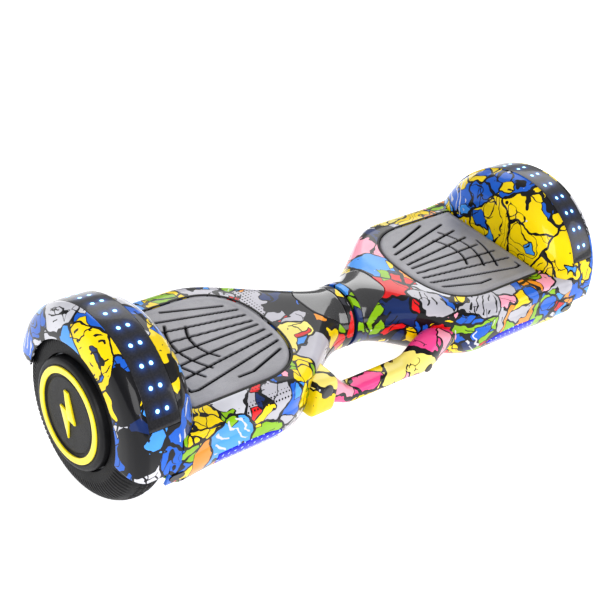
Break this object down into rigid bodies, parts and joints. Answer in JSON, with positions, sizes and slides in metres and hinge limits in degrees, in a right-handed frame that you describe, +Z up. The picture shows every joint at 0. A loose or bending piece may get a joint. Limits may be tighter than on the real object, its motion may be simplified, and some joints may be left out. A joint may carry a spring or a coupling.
{
  "type": "self balancing hoverboard",
  "caption": "Self balancing board: mirrored halves twisting on a centre tube, hub-motor wheels under arched fenders, pressable foot pads, front carry handle.",
  "frame": {"origin": "on the ground plane, under the middle of the neck joint", "axes": "+X along the board to its right half, -Y to the front (the handle side), +Z up"},
  "size_m": [0.6, 0.1884, 0.178],
  "materials": {
    "print_top": "glossy printed shell, clear coated",
    "print_bottom": "glossy printed shell, clear coated",
    "print_fender": "glossy printed shell, clear coated",
    "print_handle": "glossy printed shell, clear coated",
    "black_gloss": "high gloss black",
    "smoked_lens": "smoked translucent lens",
    "led_blue": "lit light board",
    "lens_blue": "blue light lens",
    "led_white": "lit light board",
    "pad_rubber": "moulded rubber",
    "soft_black": "matte rubber",
    "tyre": "matte rubber",
    "alloy": "cast",
    "alloy_dark": "machined",
    "steel": "machined",
    "screw_black": "black oxide",
    "winding": "enamelled copper wire and laminations",
    "cap_black": "satin black",
    "trim_yellow": "gloss yellow",
    "board_green": "circuit board",
    "battery_wrap": "shrink wrap",
    "bush_plastic": "bearing plastic",
    "cable": "cable sheath"
  },
  "bodies": {
    "right_half": {"top_shell_r": "print_top", "bottom_shell_r": "print_bottom", "fender_r": "print_fender", "fender_lens_r": "smoked_lens", "neck_cover_r": "black_gloss", "fender_leds_r": "led_blue", "light_bar_r": "lens_blue", "light_leds_r": "led_white", "frame_r": "alloy", "axle_clamp_r": "alloy_dark", "clamp_screws_r": "screw_black", "shell_screws_r": "screw_black", "axle_r": "steel", "stator_r": "winding", "sensor_board_r": "board_green", "bumpers_r": "soft_black", "pivot_tube": "steel", "pivot_collar": "steel", "neck_ring": "soft_black", "battery_pack": "battery_wrap", "charge_port": "cap_black", "handle_bar": "print_handle", "handle_plug": "soft_black", "wiring": "cable"},
    "left_half": {"top_shell_l": "print_top", "bottom_shell_l": "print_bottom", "fender_l": "print_fender", "fender_lens_l": "smoked_lens", "neck_cover_l": "black_gloss", "fender_leds_l": "led_blue", "light_bar_l": "lens_blue", "light_leds_l": "led_white", "frame_l": "alloy", "axle_clamp_l": "alloy_dark", "clamp_screws_l": "screw_black", "shell_screws_l": "screw_black", "axle_l": "steel", "stator_l": "winding", "sensor_board_l": "board_green", "bumpers_l": "soft_black", "pivot_bush": "bush_plastic", "main_board": "board_green", "handle_socket": "print_handle", "socket_plug": "soft_black"},
    "wheel_left": {"rotor_l": "alloy_dark", "bearings_l": "steel", "tyre_l": "tyre", "hub_cap_l": "cap_black", "hub_ring_l": "trim_yellow", "hub_emblem_l": "trim_yellow"},
    "wheel_right": {"rotor_r": "alloy_dark", "bearings_r": "steel", "tyre_r": "tyre", "hub_cap_r": "cap_black", "hub_ring_r": "trim_yellow", "hub_emblem_r": "trim_yellow"},
    "pad_left": {"foot_pad_l": "pad_rubber"},
    "pad_right": {"foot_pad_r": "pad_rubber"},
    "button": {"power_button": "steel"}
  },
  "joints": [
    {"name": "half_twist", "type": "hinge", "parent": "right_half", "child": "left_half", "pos_m": [0, 0, 0.084], "axis": [1, 0, 0], "range_deg": [-7.5, 7.5]},
    {"name": "wheel_left_spin", "type": "hinge", "parent": "left_half", "child": "wheel_left", "pos_m": [-0.2685, 0, 0.084], "axis": [1, 0, 0], "continuous": true},
    {"name": "wheel_right_spin", "type": "hinge", "parent": "right_half", "child": "wheel_right", "pos_m": [0.2685, 0, 0.084], "axis": [1, 0, 0], "continuous": true},
    {"name": "pad_left_press", "type": "slide", "parent": "left_half", "child": "pad_left", "axis": [0, 0, -1], "range_m": [0, 0.0015], "stiffness_N_per_m": 40000, "springref_m": -0.0002},
    {"name": "pad_right_press", "type": "slide", "parent": "right_half", "child": "pad_right", "axis": [0, 0, -1], "range_m": [0, 0.0015], "stiffness_N_per_m": 40000, "springref_m": -0.0002},
    {"name": "button_press", "type": "slide", "parent": "right_half", "child": "button", "axis": [0, -1, 0], "range_m": [0, 0.0015], "stiffness_N_per_m": 2000, "springref_m": -0.0005}
  ]
}
